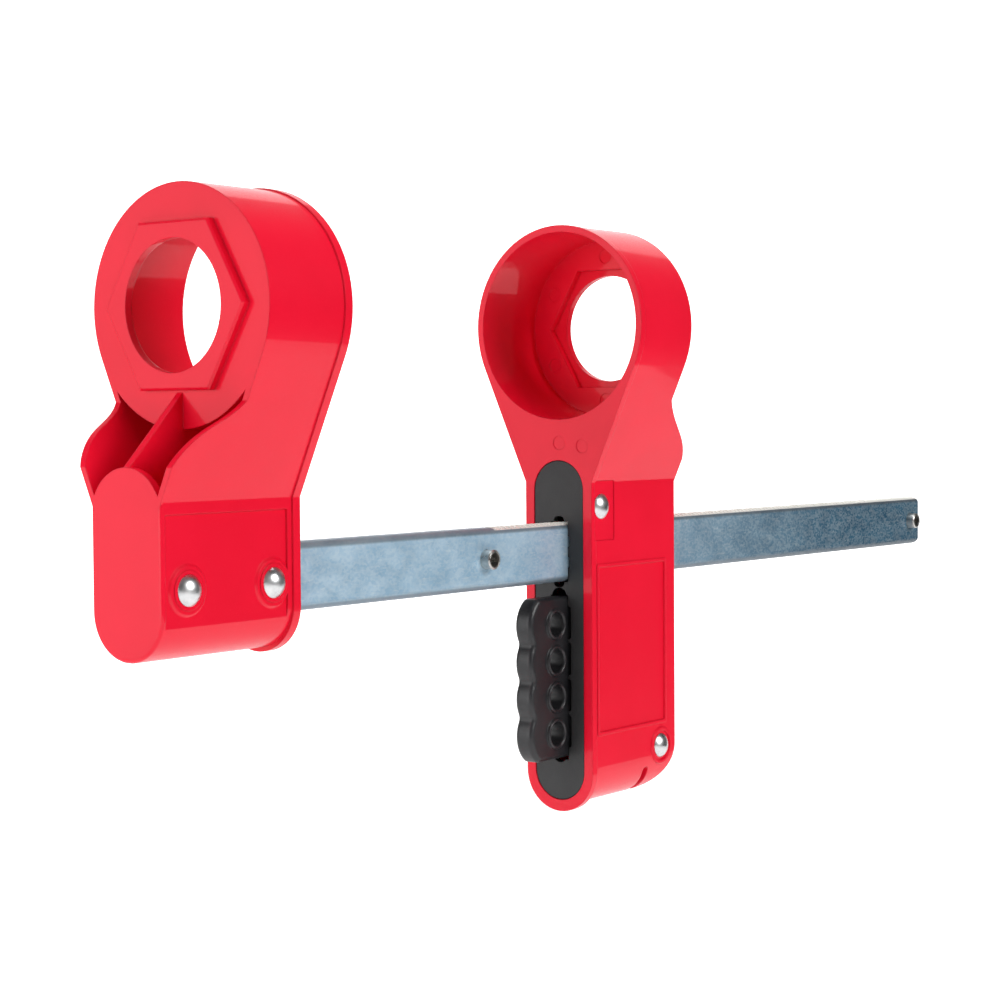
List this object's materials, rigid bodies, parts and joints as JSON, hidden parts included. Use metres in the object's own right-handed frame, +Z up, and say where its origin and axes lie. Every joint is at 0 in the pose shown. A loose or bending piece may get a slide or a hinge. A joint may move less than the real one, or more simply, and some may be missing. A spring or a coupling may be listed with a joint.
{
  "type": "flange stud lockout clamp",
  "caption": "Red lockout clamp for a flange stud: two deep cup heads on a toothed steel bar, one sliding and held by a pawl, with a squeeze trigger drilled for padlocks.",
  "frame": {"origin": "centre of the fixed head's stud bore, on its axis, at the wall's inner face, where the bore meets the recess inside the cup", "axes": "+X along the bar from the fixed head to the free end, +Z up from the bar to the bores, -Y the side nearer the viewer"},
  "size_m": [0.5833, 0.0862, 0.251],
  "materials": {
    "red_paint": "gloss",
    "zinc_plate": "satin",
    "rivet_steel": "gloss",
    "pin_steel": "satin",
    "black_matte": "matte",
    "black_satin": "satin",
    "plated_steel": "satin",
    "spring_steel": "satin",
    "pawl_steel": "satin",
    "bronze": "satin"
  },
  "bodies": {
    "fixed_frame": {"fixed_head_casting": "red_paint", "ratchet_bar": "zinc_plate", "fixed_head_rivets": "rivet_steel", "near_stop_pin": "pin_steel", "far_stop_pin": "pin_steel"},
    "sliding_head": {"sliding_head_casting": "red_paint", "face_insert": "black_matte", "rear_bar_guide": "black_matte", "pawl_pivot_rivet": "rivet_steel", "lower_rivet": "rivet_steel", "pivot_spacers": "plated_steel", "trigger_guide_block": "black_matte", "trigger_springs": "spring_steel", "spring_rods": "plated_steel", "pawl_spring": "spring_steel"},
    "trigger": {"trigger_grip": "black_satin", "carriage_plates": "plated_steel", "carriage_pins": "plated_steel", "lift_pin": "plated_steel"},
    "pawl_body": {"pawl": "pawl_steel", "pawl_bush": "bronze"}
  },
  "joints": [
    {"name": "head_slide", "type": "slide", "parent": "fixed_frame", "child": "sliding_head", "axis": [1, 0, 0], "range_m": [-0.051, 0.2346]},
    {"name": "trigger_squeeze", "type": "slide", "parent": "sliding_head", "child": "trigger", "axis": [1, 0, 0], "range_m": [0, 0.01], "stiffness_N_per_m": 1500, "springref_m": -0.008, "deforming": ["trigger_springs"]},
    {"name": "pawl_lift", "type": "hinge", "parent": "sliding_head", "child": "pawl_body", "pos_m": [0.2315, 0, -0.0769], "axis": [0, -1, 0], "range_deg": [0, 6.2], "deforming": ["pawl_spring"]}
  ],
  "couplings": [
    {"joint": "pawl_lift", "follows": "trigger_squeeze", "rad_per_m": 10.472}
  ]
}
